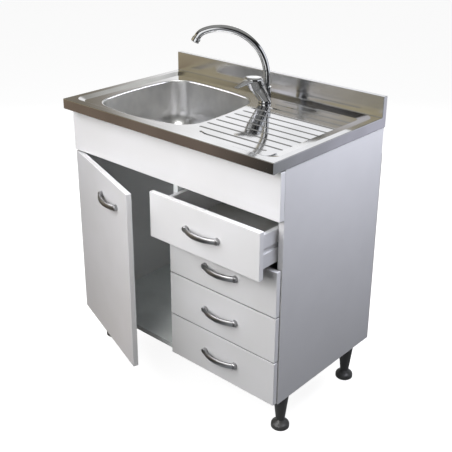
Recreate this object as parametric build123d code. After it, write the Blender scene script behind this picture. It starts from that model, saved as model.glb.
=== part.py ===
"""Free-standing kitchen sink unit, 80 x 50 x 85 cm.

A pressed steel top with a bowl, a ribbed drainer and an upstand lies on a cabinet of
coated board with a fascia, one door and a stack of four drawers, on adjustable legs.
A single-lever mixer tap with a swivelling swan neck stands behind the bowl.

Millimetres. +Z is up, the fronts face -Y and the wall is at +Y. The origin lies on the
floor under the centre of the top. At rest the door stands ajar, the top drawer is
pulled out a little and the spout is turned over the bowl.
"""
from build123d import *
import os
from math import cos, radians, sin, sqrt, tan

# ---------------------------------------------------------------- driving dimensions
# steel top
TOP_WIDTH = 800.0
TOP_DEPTH = 500.0
TOP_HEIGHT = 850.0
SHEET = 1.0
SKIRT_DROP = 30.0
UPSTAND_HEIGHT = 60.0
UPSTAND_THICK = 18.0
RIM_SIDE = 20.0
RIM_FRONT = 24.0
RIM_REAR = 6.0
RECESS_DEPTH = 4.0
SIDE_SLOPE = 28.0
FRONT_SLOPE = 10.0
REAR_SLOPE = 36.0
RECESS_CORNER_R = 34.0

# bowl, by the corners of its rim before they are rounded: x, and the inset from the top's rear or front edge
BOWL_REAR_LEFT = (-317.0, 94.0)
BOWL_REAR_RIGHT = (20.0, 118.5)
BOWL_FRONT_RIGHT = (46.5, 79.5)
BOWL_FRONT_LEFT = (-307.0, 60.0)
BOWL_LEFT_BULGE = 18.5
BOWL_REAR_BULGE = 12.5
BOWL_RIGHT_BULGE = 11.0
BOWL_FRONT_BULGE = 29.0
BOWL_CORNER_R = 70.0
BOWL_DEPTH = 150.0
BOWL_DRAFT = 4.0
BOWL_LIP_R = 5.0
BOWL_FLOOR_LAP = 1.5

# drainer
GROOVE_COUNT = 11
GROOVE_WIDTH = 8.0
GROOVE_DEPTH = 2.2
GROOVE_SIDE_ANGLE = 48.0
DRAINER_FRONT_INSET = 58.0
DRAINER_REAR_INSET = 70.0
DRAINER_LEFT_X = 66.0
DRAINER_RIGHT_INSET = 46.0
DRAINER_CORNER_R = 64.0
DRAINER_WRAP_ANGLE = 28.0
TAP_CLEAR_ZONE = 42.0

# waste
WASTE_X = -142.0
WASTE_Y = -24.0
WASTE_HOLE_R = 43.0
WASTE_FLANGE_WIDTH = 11.0
WASTE_FLANGE_THICK = 1.6
WASTE_CUP_DEPTH = 38.0
WASTE_WALL = 2.0
WASTE_GASKET_THICK = 2.5
WASTE_BODY_DEPTH = 52.0
WASTE_OUTLET_R = 23.9
WASTE_OUTLET_LENGTH = 26.0
WASTE_SCREW_R = 3.0
BASKET_R = 37.5
BASKET_HEIGHT = 30.0
BASKET_HOLES = 10
BASKET_HOLE_R = 3.0
BASKET_KNOB_R = 8.0

# cabinet
BOARD = 16.0
BACK_BOARD = 3.0
FRONT_SETBACK = 32.0
FRONT_THICK = 16.0
BUMPER_GAP = 2.0
FIT_GAP = 0.5
REST_GAP = 0.3
FRONT_GAP = 4.0
FRONT_REVEAL = 3.0
FRONT_EDGE_R = 1.2
CARCASS_BOTTOM = 131.0
FRONT_LIFT = 3.0
FASCIA_HEIGHT = 131.5
FASCIA_TOP_DROP = 35.0
DIVIDER_X = 9.0
DIVIDER_BELOW_BOWL = 6.0
FRONT_OVER_DIVIDER = 1.5
REAR_RAIL_HEIGHT = 95.0
BACK_BOARD_DROP = 108.0
PIPE_HOLE_WIDTH = 220.0
PIPE_HOLE_HEIGHT = 160.0
PIPE_HOLE_X = -190.0
PIPE_HOLE_RISE = 299.0
BRACKET_LEG = 30.0
BRACKET_THICK = 2.0
BRACKET_WIDTH = 24.0
BRACKET_INSET = 30.0
CAM_R = 7.5
CAM_DEPTH = 12.0
CAM_INSET = 110.0

# drawers
DRAWER_COUNT = 4
DRAWER_PULL = 72.0
BOX_REAR_CLEARANCE = 47.5
BOX_BOARD = 12.0
BOX_SIDE_GAP = 3.2
BOX_BELOW_FRONT_TOP = 23.0
BOX_ABOVE_FRONT_BOTTOM = 17.0
BOX_BASE = 3.0
BOX_BASE_LIFT = 8.0
BOX_BASE_IN_GROOVE = 5.0
RUNNER_GROOVE_HEIGHT = 16.0
RUNNER_GROOVE_DEPTH = 5.0
RUNNER_FIT = 0.4
RUNNER_FRONT_INSET = 6.0

# door and its hinges
DOOR_ANGLE = 19.5
PIN_FROM_EDGE = 6.0
PIN_DEPTH = 10.0
PIN_R = 1.25
PIN_FIT = 0.05
CUP_R = 17.5
CUP_FIT = 0.3
CUP_WALL = 0.6
CUP_DEPTH = 13.2
CUP_FLANGE = 3.5
CUP_FLANGE_THICK = 1.2
HINGE_INSET = 95.0
ARM_WIDTH = 8.0
ARM_THICK = 2.4
ARM_STANDOFF = 9.0
ARM_LENGTH = 62.0
EYE_R = 2.2
EYE_GAP = 0.9
PLATE_THICK = 5.0
PLATE_WIDTH = 42.0
PLATE_LENGTH = 34.0
PLATE_SETBACK = 16.0

# handles
HANDLE_LENGTH = 128.0
HANDLE_BULGE = 27.0
HANDLE_END_RISE = 6.0
HANDLE_BAR_HEIGHT = 17.0
HANDLE_BAR_DEPTH = 9.5
HANDLE_FOOT_R = 8.8
DOOR_HANDLE_FROM_HINGE = 268.0
SCREW_R = 2.0
SCREW_HEAD_R = 4.2
SCREW_HEAD = 2.4

# legs
LEG_INSET_X = 38.5
LEG_FRONT_INSET = 65.0
LEG_REAR_INSET = 56.0
LEG_PLATE = 62.0
LEG_PLATE_THICK = 5.0
LEG_TOP_R = 24.5
LEG_BOTTOM_R = 13.0
FOOT_R = 26.5
FOOT_EDGE = 9.0
FOOT_HEIGHT = 27.0
FOOT_NECK_R = 12.0
FOOT_RUNNING_GAP = 0.5
STEM_R = 6.0
STEM_FIT = 0.05
STEM_LENGTH = 62.0
LEG_BORE_SPARE = 10.0

# tap
TAP_X = 54.0
TAP_REAR_INSET = 111.0
TAP_HOLE_R = 17.5
TAP_GASKET = 2.0
TAP_BASE_R = 19.0
TAP_BASE_HEIGHT = 7.0
SPOUT_OFFSET = 6.0
SPOUT_R = 10.2
SPOUT_WALL = 1.4
SPOUT_FIT = 0.05
SPOUT_COLLAR_R = 14.2
SPOUT_COLLAR_RISE = 38.0
SPOUT_RING_HEIGHT = 5.0
SPOUT_SOCKET_DEPTH = 24.0
SPOUT_BEND_RISE = 75.3
SPOUT_BEND_R = 138.0
SPOUT_FALL_R = 117.0
SPOUT_FALL_ANGLE = 23.0
SPOUT_CURL_R = 37.0
SPOUT_CURL_ANGLE = 38.0
SPOUT_END_STRAIGHT = 2.0
SPOUT_SWIVEL = 48.7
AERATOR_R = 12.4
AERATOR_LENGTH = 14.0
AERATOR_BORE_R = 7.5
AERATOR_EDGE_R = 1.8
LEAN_ANGLE = 32.0
LEAN_TOP_REACH = 39.0
LEAN_TOP_RISE = 55.0
LEAN_BODY_R = 23.5
CARTRIDGE_R = 15.0
CARTRIDGE_LENGTH = 22.0
CARTRIDGE_RING_HEIGHT = 3.0
CARTRIDGE_RING_BORE_R = 9.0
PIVOT_RISE = 6.0
TAP_STEM_R = 5.0
TAP_STEM_SEAT = 7.0
TAP_STEM_FIT = 0.05
BELL_CLEARANCE = 2.4
BELL_RISE = 9.2
BELL_GAP = 0.6
TAP_PIN_R = 1.5
CAP_R = 25.0
CAP_WALL = 2.4
CAP_TILT = 9.0
CAP_RIM_DROP = 1.0
CAP_REAR_TOP_RISE = 78.8
CAP_TOP_SLOPE = 5.5
CAP_EDGE_R = 7.0
# sections of the lever's blade: reach in front of the tap's axis, rise over the top, width, height
BLADE_SECTIONS = (
    (51.0, 72.5, 35.0, 13.0),
    (77.0, 73.5, 30.0, 14.0),
    (102.0, 70.5, 23.0, 9.5),
    (128.0, 66.0, 17.0, 4.5),
)
INDEX_R = 3.6
INDEX_THICK = 1.4
SHANK_R = 14.0
SHANK_LENGTH = 46.0
INLET_R = 9.5
TAP_NUT_R = 21.0
TAP_NUT_HEIGHT = 9.0
TAP_WASHER_R = 24.0
TAP_WASHER_THICK = 2.5
THREAD_FIT = 0.1

# ---------------------------------------------------------------- derived places
FIELD_Z = TOP_HEIGHT - RECESS_DEPTH
UNDERSIDE_Z = TOP_HEIGHT - SHEET
TOP_EDGE_R = SHEET + FIT_GAP
TOP_FRONT_Y = -TOP_DEPTH / 2
TOP_BACK_Y = TOP_DEPTH / 2
HALF_TOP = TOP_WIDTH / 2
BOWL_CORNERS = [(x, TOP_BACK_Y - inset) for x, inset in (BOWL_REAR_LEFT, BOWL_REAR_RIGHT)]
BOWL_CORNERS += [(x, TOP_FRONT_Y + inset) for x, inset in (BOWL_FRONT_RIGHT, BOWL_FRONT_LEFT)]
BOWL_FLOOR_Z = FIELD_Z - BOWL_DEPTH
DIVIDER_TOP = BOWL_FLOOR_Z - DIVIDER_BELOW_BOWL
BACK_BOARD_TOP = TOP_HEIGHT - BACK_BOARD_DROP
PIPE_HOLE_BOTTOM = CARCASS_BOTTOM + PIPE_HOLE_RISE
BOWL_FLOOR_R = BOWL_CORNER_R - BOWL_DEPTH * tan(radians(BOWL_DRAFT)) - 2 * BOWL_FLOOR_LAP

CABINET_HALF = HALF_TOP - SHEET - FIT_GAP
CABINET_INNER = CABINET_HALF - BOARD
CABINET_BACK_Y = TOP_BACK_Y - SHEET - FIT_GAP
BOARD_BACK_Y = CABINET_BACK_Y - BACK_BOARD
FRONT_Y = TOP_FRONT_Y + FRONT_SETBACK
FRONT_REAR_Y = FRONT_Y + FRONT_THICK
CARCASS_FRONT_Y = FRONT_REAR_Y + BUMPER_GAP
FLOOR_BOARD_TOP = CARCASS_BOTTOM + BOARD
FASCIA_TOP = TOP_HEIGHT - FASCIA_TOP_DROP
FASCIA_BOTTOM = FASCIA_TOP - FASCIA_HEIGHT
BRACKET_HEIGHTS = (FASCIA_BOTTOM + BRACKET_INSET, FASCIA_TOP - BRACKET_INSET)
DIVIDER_RIGHT = DIVIDER_X + BOARD

FRONTS_BOTTOM = CARCASS_BOTTOM + FRONT_LIFT
FRONTS_TOP = FASCIA_BOTTOM - FRONT_GAP
DRAWER_PITCH = (FRONTS_TOP - FRONTS_BOTTOM + FRONT_GAP) / DRAWER_COUNT
DRAWER_FRONT_HEIGHT = DRAWER_PITCH - FRONT_GAP
DRAWER_LEFT = DIVIDER_X - FRONT_OVER_DIVIDER
DRAWER_RIGHT = CABINET_HALF - FRONT_REVEAL
DRAWER_MID = (DRAWER_LEFT + DRAWER_RIGHT) / 2
DOOR_LEFT = -CABINET_HALF + FRONT_REVEAL
DOOR_RIGHT = DRAWER_LEFT - FRONT_GAP

BOX_LEFT = DIVIDER_RIGHT + BOX_SIDE_GAP
BOX_RIGHT = CABINET_INNER - BOX_SIDE_GAP
BOX_LENGTH = BOARD_BACK_Y - FRONT_REAR_Y - BOX_REAR_CLEARANCE
BOX_REAR_Y = FRONT_REAR_Y + BOX_LENGTH

HINGE_X = DOOR_LEFT + PIN_FROM_EDGE
HINGE_Y = FRONT_REAR_Y - PIN_DEPTH
CUP_X = HINGE_X + CUP_R - CUP_WALL - EYE_R - EYE_GAP
HINGE_HEIGHTS = (FRONTS_BOTTOM + HINGE_INSET, FRONTS_TOP - HINGE_INSET)

TAP_SEAT_Z = FIELD_Z + TAP_GASKET
CAP_ROOM_R = CAP_R - CAP_WALL
BELL_R = CAP_ROOM_R - BELL_CLEARANCE
TAP_Y = TOP_BACK_Y - TAP_REAR_INSET
LEAN_TOP_Y = TAP_Y - LEAN_TOP_REACH
SPOUT_Y = TAP_Y + SPOUT_OFFSET
SPOUT_COLLAR_TOP = TOP_HEIGHT + SPOUT_COLLAR_RISE
SPOUT_BEND_START = TOP_HEIGHT + SPOUT_BEND_RISE
LEAN_TOP_Z = TOP_HEIGHT + LEAN_TOP_RISE
CAP_REAR_TOP_Z = TOP_HEIGHT + CAP_REAR_TOP_RISE
LEAN_TOP = Vector(TAP_X, LEAN_TOP_Y, LEAN_TOP_Z)
LEAN_DIRECTION = Vector(0, -sin(radians(LEAN_ANGLE)), cos(radians(LEAN_ANGLE)))
LEVER_PIVOT = LEAN_TOP + LEAN_DIRECTION * PIVOT_RISE


# ---------------------------------------------------------------- small helpers
def save(name, shape):
    """Write one named piece."""
    export_step(shape, f"parts/{name}.step")


def board(x0, x1, y0, y1, z0, z1):
    """Rectangular board between two corners."""
    return Pos((x0 + x1) / 2, (y0 + y1) / 2, (z0 + z1) / 2) * Box(x1 - x0, y1 - y0, z1 - z0)


def post(x, y, z0, z1, radius):
    """Upright cylinder between two heights."""
    return Pos(x, y, (z0 + z1) / 2) * Cylinder(radius, z1 - z0)


def cross_rod(x, z, y0, y1, radius):
    """Cylinder along Y between two depths."""
    return Pos(x, (y0 + y1) / 2, z) * Rot(90, 0, 0) * Cylinder(radius, y1 - y0)


def eased(shape, radius=FRONT_EDGE_R):
    """A front panel with all its edges rounded."""
    return fillet(shape.edges(), radius)


def on_lean(shape):
    """Stand a shape that was drawn about Z on the tap's leaning axis, X kept along X."""
    return Plane(origin=LEAN_TOP, x_dir=(1, 0, 0), z_dir=LEAN_DIRECTION) * shape


def drills(count, circle_r, hole_r, height, z=0.0):
    """Cylinders evenly spaced on a circle about Z."""
    places = PolarLocations(circle_r, count)
    return [Pos(0, 0, z) * place * Cylinder(hole_r, height) for place in places]


def ring(outer, inner, height):
    """Flat ring that stands on the XY plane."""
    return Pos(0, 0, height / 2) * (Cylinder(outer, height) - Cylinder(inner, height))


# ---------------------------------------------------------------- steel top
def bowl_outline(grow=0.0):
    """Face of the bowl's rim: four bowed sides with rounded corners, grown outwards."""
    bulges = [BOWL_REAR_BULGE, BOWL_RIGHT_BULGE, BOWL_FRONT_BULGE, BOWL_LEFT_BULGE]
    sides = []
    for index, bulge in enumerate(bulges):
        start, end = Vector(*BOWL_CORNERS[index]), Vector(*BOWL_CORNERS[(index + 1) % 4])
        along = (end - start).normalized()
        outward = Vector(-along.Y, along.X)
        sides.append(ThreePointArc(start, (start + end) * 0.5 + outward * bulge, end))
    face = make_face(Wire(sides))
    face = fillet(face.vertices(), BOWL_CORNER_R)
    middle = face.center()
    arcs = []
    for edge in face.edges():
        points = [edge @ place + outward_at(edge, place, middle) * grow for place in (0, 0.5, 1)]
        arcs.append(ThreePointArc(*points))
    return make_face(Wire(arcs))


def outward_at(edge, place, middle):
    """Level normal of an edge that points away from the middle."""
    normal = (edge % place).cross(Vector(0, 0, 1))
    return normal if normal.dot(edge @ place - middle) > 0 else -normal


def bowl_section():
    """Section of the bowl's sheet across its rim: lip, wall and the start of the floor.

    X runs outwards from the rim and Y upwards from the field.
    """
    slant = tan(radians(BOWL_DRAFT))
    wall = SHEET / cos(radians(BOWL_DRAFT))
    floor_x = -BOWL_DEPTH * slant - BOWL_FLOOR_R - BOWL_FLOOR_LAP
    points = [
        (BOWL_LIP_R, 0), (0, 0), (-BOWL_DEPTH * slant, -BOWL_DEPTH), (floor_x, -BOWL_DEPTH),
        (floor_x, -BOWL_DEPTH - SHEET), (wall - (BOWL_DEPTH + SHEET) * slant, -BOWL_DEPTH - SHEET),
        (wall - SHEET * slant, -SHEET), (BOWL_LIP_R, -SHEET),
    ]
    radii = {1: BOWL_LIP_R, 2: BOWL_FLOOR_R, 5: BOWL_FLOOR_R + SHEET, 6: BOWL_LIP_R - SHEET}
    face = make_face(Polyline(*points, close=True))
    for index, radius in radii.items():
        corner = Vertex(*points[index], 0)
        face = fillet(face.vertices().sort_by_distance(corner)[0], radius)
    return face


def make_bowl():
    """Deep-drawn bowl: its section swept round the rim, closed by the floor."""
    rim = Pos(0, 0, FIELD_Z) * bowl_outline().faces()[0].outer_wire()
    outward = (rim % 0).cross(Vector(0, 0, 1))
    start = rim @ 0
    middle = rim.bounding_box().center()
    if (start + outward - middle).length < (start - middle).length:
        outward = -outward
    plane = Plane(origin=start, x_dir=outward, z_dir=outward.cross(Vector(0, 0, 1)))
    wall = sweep(plane * bowl_section(), path=rim)
    inset = BOWL_DEPTH * tan(radians(BOWL_DRAFT)) + BOWL_FLOOR_R
    floor_plate = extrude(Pos(0, 0, BOWL_FLOOR_Z) * bowl_outline(-inset), -SHEET)
    bowl = wall + floor_plate
    below = BOWL_FLOOR_Z - 2 * SHEET
    return bowl - post(WASTE_X, WASTE_Y, below, BOWL_FLOOR_Z + SHEET, WASTE_HOLE_R)


def groove_tool(face, z):
    """Sloped-sided groove pressed down from height z."""
    return extrude(Pos(0, 0, z) * face, amount=-GROOVE_DEPTH, taper=GROOVE_SIDE_ANGLE)


def groove_rows():
    """Each groove's place in depth, front to rear, with its left and right end."""
    front = TOP_FRONT_Y + DRAINER_FRONT_INSET
    rear = TOP_BACK_Y - DRAINER_REAR_INSET
    right = HALF_TOP - DRAINER_RIGHT_INSET
    rows = []
    for index in range(GROOVE_COUNT):
        y = front + index * (rear - front) / (GROOVE_COUNT - 1)
        into_corner = max(front + DRAINER_CORNER_R - y, y - rear + DRAINER_CORNER_R, 0)
        pull_in = DRAINER_CORNER_R - sqrt(max(DRAINER_CORNER_R**2 - into_corner**2, 0))
        beside_tap = y > TAP_Y - TAP_CLEAR_ZONE
        left = TAP_X + TAP_CLEAR_ZONE if beside_tap else DRAINER_LEFT_X + pull_in
        rows.append((y, left, right - pull_in))
    return rows


def drainer_tools(z):
    """All the grooves, with the first one bent round the drainer's front corners."""
    tools = []
    rows = groove_rows()
    for y, left, right in rows:
        length = right - left + GROOVE_WIDTH
        slot = Pos((left + right) / 2, y) * SlotOverall(length, GROOVE_WIDTH)
        tools.append(groove_tool(slot, z))
    y, left, right = rows[0]
    for x, first in ((left, -90 - DRAINER_WRAP_ANGLE), (right, -90)):
        arc = CenterArc((x, y + DRAINER_CORNER_R), DRAINER_CORNER_R, first, DRAINER_WRAP_ANGLE)
        tools.append(groove_tool(SlotArc(arc, GROOVE_WIDTH), z))
    return tools


def recess_tool(z):
    """The field's recess with its sloping sides, pressed down from height z."""
    left, front = RIM_SIDE - HALF_TOP, TOP_FRONT_Y + RIM_FRONT
    rear = TOP_BACK_Y - UPSTAND_THICK - RIM_REAR
    upper = RectangleRounded(-2 * left, rear - front, RECESS_CORNER_R)
    low_front, low_rear = front + FRONT_SLOPE, rear - REAR_SLOPE
    lower = RectangleRounded(-2 * (left + SIDE_SLOPE), low_rear - low_front, RECESS_CORNER_R / 2)
    return loft([Pos(0, (front + rear) / 2, z) * upper,
                 Pos(0, (low_front + low_rear) / 2, z - RECESS_DEPTH) * lower])


def top_block(inset):
    """The outside of the top and its upstand, or its inside when inset by the sheet."""
    half, front, back = HALF_TOP - inset, TOP_FRONT_Y + inset, TOP_BACK_Y - inset
    low = TOP_HEIGHT - SKIRT_DROP - (SHEET if inset else 0)
    deck = board(-half, half, front, back, low, TOP_HEIGHT - inset)
    upstand_front = TOP_BACK_Y - UPSTAND_THICK + inset
    upstand_top = TOP_HEIGHT + UPSTAND_HEIGHT - inset
    block = deck + board(-half, half, upstand_front, back, TOP_HEIGHT - 2 * inset, upstand_top)
    edges = [e for e in block.edges() if e.center().Z > low + inset + 1]
    return fillet(edges, TOP_EDGE_R - inset)


def make_top():
    """Pressed top: sheet between the outer form and the same form one sheet inside."""
    outer = top_block(0) - recess_tool(TOP_HEIGHT) - drainer_tools(FIELD_Z)
    inner = top_block(SHEET) - recess_tool(UNDERSIDE_Z) - drainer_tools(FIELD_Z - SHEET)
    bowl_hole = extrude(Pos(0, 0, TOP_HEIGHT) * bowl_outline(BOWL_LIP_R), -2 * RECESS_DEPTH)
    tap_hole = post(TAP_X, TAP_Y, FIELD_Z - RECESS_DEPTH, TOP_HEIGHT, TAP_HOLE_R)
    return outer - inner - bowl_hole - tap_hole


# ---------------------------------------------------------------- waste
def on_waste(shape, z):
    """Put a round piece, drawn about Z, on the waste's axis at height z."""
    return Pos(WASTE_X, WASTE_Y, z) * shape


def make_waste_flange():
    """Pressed strainer cup whose flange seals on the bowl's floor."""
    cup_r = WASTE_HOLE_R - FIT_GAP
    flange = ring(WASTE_HOLE_R + WASTE_FLANGE_WIDTH, cup_r - WASTE_WALL, WASTE_FLANGE_THICK)
    cup = Pos(0, 0, -WASTE_CUP_DEPTH) * ring(cup_r, cup_r - WASTE_WALL, WASTE_CUP_DEPTH)
    floor_plate = Pos(0, 0, -WASTE_CUP_DEPTH) * ring(cup_r, WASTE_SCREW_R + THREAD_FIT, WASTE_WALL)
    floor_plate -= drills(BASKET_HOLES, cup_r * 0.6, 2 * BASKET_HOLE_R, 4 * WASTE_WALL, -WASTE_CUP_DEPTH)
    return on_waste(flange + cup + floor_plate, BOWL_FLOOR_Z)


def make_waste_gasket():
    """Rubber ring between the bowl and the waste body."""
    gasket = ring(WASTE_HOLE_R + WASTE_FLANGE_WIDTH, WASTE_HOLE_R + FIT_GAP, WASTE_GASKET_THICK)
    return on_waste(gasket, BOWL_FLOOR_Z - SHEET - WASTE_GASKET_THICK)


def make_waste_body():
    """Moulded funnel under the bowl with its threaded outlet."""
    outer_r = WASTE_HOLE_R + WASTE_FLANGE_WIDTH
    bore_r = WASTE_OUTLET_R - 2 * WASTE_WALL
    drum = ring(outer_r, WASTE_HOLE_R + FIT_GAP, WASTE_BODY_DEPTH)
    base = ring(outer_r, WASTE_SCREW_R + THREAD_FIT, 2 * WASTE_WALL)
    outlet = Pos(0, 0, -WASTE_OUTLET_LENGTH) * ring(WASTE_OUTLET_R, bore_r, WASTE_OUTLET_LENGTH)
    body = drum + (base - drills(3, bore_r * 0.6, bore_r * 0.3, 8 * WASTE_WALL)) + outlet
    return on_waste(body, BOWL_FLOOR_Z - SHEET - WASTE_GASKET_THICK - WASTE_BODY_DEPTH)


def make_waste_screw():
    """Long screw that draws the flange and the body together."""
    cup_floor = BOWL_FLOOR_Z - WASTE_CUP_DEPTH + WASTE_WALL
    body_base = BOWL_FLOOR_Z - SHEET - WASTE_GASKET_THICK - WASTE_BODY_DEPTH
    shank = post(WASTE_X, WASTE_Y, body_base, cup_floor, WASTE_SCREW_R)
    head = post(WASTE_X, WASTE_Y, cup_floor, cup_floor + WASTE_WALL, 2 * WASTE_SCREW_R)
    return shank + head


def make_basket():
    """Lift-out strainer basket with a ring of holes and a knob."""
    low = BOWL_FLOOR_Z - WASTE_CUP_DEPTH + 2 * WASTE_WALL + REST_GAP
    high = low + BASKET_HEIGHT
    cup = post(WASTE_X, WASTE_Y, low, high, BASKET_R)
    cup -= post(WASTE_X, WASTE_Y, low + SHEET, high + SHEET, BASKET_R - SHEET)
    holes = drills(BASKET_HOLES, BASKET_R * 0.68, BASKET_HOLE_R, 6 * SHEET)
    cup -= [on_waste(hole, low) for hole in holes]
    knob = post(WASTE_X, WASTE_Y, low, high - SHEET, BASKET_KNOB_R / 2)
    knob += post(WASTE_X, WASTE_Y, high - SHEET, high + 2 * SHEET, BASKET_KNOB_R)
    return cup + knob


# ---------------------------------------------------------------- cabinet
def make_sides():
    """Left and right side panels."""
    for name, x0 in (("side_panel_left", -CABINET_HALF), ("side_panel_right", CABINET_INNER)):
        panel = board(x0, x0 + BOARD, CARCASS_FRONT_Y, BOARD_BACK_Y, CARCASS_BOTTOM, UNDERSIDE_Z)
        save(name, panel)


def make_floor_board():
    """Bottom board between the sides, bored from below for its cam fittings."""
    floor_board = board(-CABINET_INNER, CABINET_INNER, CARCASS_FRONT_Y, BOARD_BACK_Y,
                        CARCASS_BOTTOM, FLOOR_BOARD_TOP)
    for x, y in cam_places():
        floor_board -= post(x, y, CARCASS_BOTTOM - BOARD, CARCASS_BOTTOM + CAM_DEPTH, CAM_R)
    return floor_board


def cam_places():
    """The cams' centres in the bottom board, two by each side."""
    x = CABINET_INNER - 2 * CAM_R
    return [(sx * x, y) for sx in (-1, 1) for y in (CARCASS_FRONT_Y + CAM_INSET, BOARD_BACK_Y - CAM_INSET)]


def make_cams():
    """Cam fittings that draw the bottom board to the sides."""
    cams = []
    for x, y in cam_places():
        cam = post(x, y, CARCASS_BOTTOM, CARCASS_BOTTOM + CAM_DEPTH, CAM_R)
        slot = board(x - CAM_R / 2, x + CAM_R / 2, y - 1, y + 1, CARCASS_BOTTOM - 1, CARCASS_BOTTOM + 2)
        cams.append(cam - slot)
    return Compound(children=cams)


def make_divider():
    """Upright between the door's and the drawers' side, ending below the bowl."""
    return board(DIVIDER_X, DIVIDER_RIGHT, CARCASS_FRONT_Y, BOARD_BACK_Y, FLOOR_BOARD_TOP, DIVIDER_TOP)


def make_back_board():
    """Thin back nailed on the carcass, with a cut-out for the pipes."""
    back = board(-CABINET_HALF, CABINET_HALF, BOARD_BACK_Y, CABINET_BACK_Y, CARCASS_BOTTOM, BACK_BOARD_TOP)
    half = PIPE_HOLE_WIDTH / 2
    hole = board(PIPE_HOLE_X - half, PIPE_HOLE_X + half, BOARD_BACK_Y - 1, CABINET_BACK_Y + 1,
                 PIPE_HOLE_BOTTOM, PIPE_HOLE_BOTTOM + PIPE_HOLE_HEIGHT)
    return back - hole


def make_rear_rail():
    """Rail that ties the sides under the upstand."""
    return board(-CABINET_INNER, CABINET_INNER, BOARD_BACK_Y - BOARD, BOARD_BACK_Y,
                 UNDERSIDE_Z - REAR_RAIL_HEIGHT, UNDERSIDE_Z)


def make_fascia():
    """Fixed front panel, hollowed behind for the bowl."""
    panel = eased(board(-CABINET_HALF, CABINET_HALF, FRONT_Y, CARCASS_FRONT_Y, FASCIA_BOTTOM, FASCIA_TOP))
    rim = bowl_outline(SHEET + FIT_GAP).bounding_box()
    hollow_low = BOWL_FLOOR_Z - SHEET - FIT_GAP
    return panel - board(rim.min.X, rim.max.X, rim.min.Y, CARCASS_FRONT_Y + 1, hollow_low, FASCIA_TOP + 1)


def make_brackets():
    """Steel angles that fix the fascia to the side panels."""
    angles = []
    for z in BRACKET_HEIGHTS:
        for sign in (-1, 1):
            wall = sign * CABINET_INNER
            inner = wall - sign * BRACKET_THICK
            tip = wall - sign * BRACKET_LEG
            low, high = z - BRACKET_WIDTH / 2, z + BRACKET_WIDTH / 2
            y0, y1 = CARCASS_FRONT_Y, CARCASS_FRONT_Y + BRACKET_LEG
            on_side = board(min(wall, inner), max(wall, inner), y0, y1, low, high)
            on_front = board(min(wall, tip), max(wall, tip), y0, y0 + BRACKET_THICK, low, high)
            angles.append(on_side + on_front)
    return Compound(children=angles)


# ---------------------------------------------------------------- drawers
def drawer_bottom(number):
    """Lower edge of a drawer's front; number 1 is the top drawer."""
    return FRONTS_TOP - number * DRAWER_PITCH + FRONT_GAP


def box_heights(number):
    """Lower and upper edge of a drawer's box."""
    low = drawer_bottom(number) + BOX_ABOVE_FRONT_BOTTOM
    high = drawer_bottom(number) + DRAWER_FRONT_HEIGHT - BOX_BELOW_FRONT_TOP
    return low, high


def groove_heights(number):
    """Lower and upper edge of the runner groove, halfway up the box."""
    low, high = box_heights(number)
    middle = (low + high) / 2
    return middle - RUNNER_GROOVE_HEIGHT / 2, middle + RUNNER_GROOVE_HEIGHT / 2


def make_box_sides(number):
    """The two sides of a drawer's box, grooved outside for the runners and inside for the base."""
    low, high = box_heights(number)
    groove_low, groove_high = groove_heights(number)
    base_low = low + BOX_BASE_LIFT
    sides = []
    for outer, inward in ((BOX_LEFT, 1), (BOX_RIGHT, -1)):
        inner = outer + inward * BOX_BOARD
        side = board(min(outer, inner), max(outer, inner), FRONT_REAR_Y, BOX_REAR_Y, low, high)
        floor_of_groove = outer + inward * RUNNER_GROOVE_DEPTH
        x0, x1 = min(outer, floor_of_groove), max(outer, floor_of_groove)
        side -= board(x0, x1, FRONT_REAR_Y, BOX_REAR_Y, groove_low, groove_high)
        slit = inner - inward * BOX_BASE_IN_GROOVE
        side -= board(min(slit, inner), max(slit, inner), FRONT_REAR_Y, BOX_REAR_Y,
                      base_low, base_low + BOX_BASE)
        sides.append(side)
    return Compound(children=sides)


def make_box_base(number):
    """Thin base that slides into the sides' slits."""
    low = box_heights(number)[0] + BOX_BASE_LIFT
    reach = BOX_BOARD - BOX_BASE_IN_GROOVE
    return board(BOX_LEFT + reach, BOX_RIGHT - reach, FRONT_REAR_Y, BOX_REAR_Y, low, low + BOX_BASE)


def make_box_back(number):
    """Back of a drawer's box, standing on the base between the sides."""
    low, high = box_heights(number)
    return board(BOX_LEFT + BOX_BOARD, BOX_RIGHT - BOX_BOARD, BOX_REAR_Y - BOX_BOARD, BOX_REAR_Y,
                 low + BOX_BASE_LIFT + BOX_BASE, high)


def make_drawer_front(number):
    """Lay-on front of a drawer, bored for the handle's screws."""
    low = drawer_bottom(number)
    front = eased(board(DRAWER_LEFT, DRAWER_RIGHT, FRONT_Y, FRONT_REAR_Y, low, low + DRAWER_FRONT_HEIGHT))
    return front - handle_bores(DRAWER_MID, low + DRAWER_FRONT_HEIGHT / 2)


def make_runners():
    """Moulded runner strips on the divider and the right side, one pair for each drawer."""
    strips = []
    for number in range(1, DRAWER_COUNT + 1):
        groove_low, groove_high = groove_heights(number)
        low, high = groove_low + RUNNER_FIT, groove_high - RUNNER_FIT
        y0, y1 = CARCASS_FRONT_Y + RUNNER_FRONT_INSET, CARCASS_FRONT_Y + BOX_LENGTH
        reach = BOX_SIDE_GAP + RUNNER_GROOVE_DEPTH - RUNNER_FIT
        strips.append(board(DIVIDER_RIGHT, DIVIDER_RIGHT + reach, y0, y1, low, high))
        strips.append(board(CABINET_INNER - reach, CABINET_INNER, y0, y1, low, high))
    return Compound(children=strips)


# ---------------------------------------------------------------- handles
def handle_screw_places(x):
    """The two screw centres of a handle centred on x."""
    reach = HANDLE_LENGTH / 2 - HANDLE_FOOT_R
    return x - reach, x + reach


def handle_bores(x, z):
    """Holes through a front for a handle's screws."""
    places = handle_screw_places(x)
    return [cross_rod(place, z, FRONT_Y - 1, FRONT_REAR_Y + 1, SCREW_R) for place in places]


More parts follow.
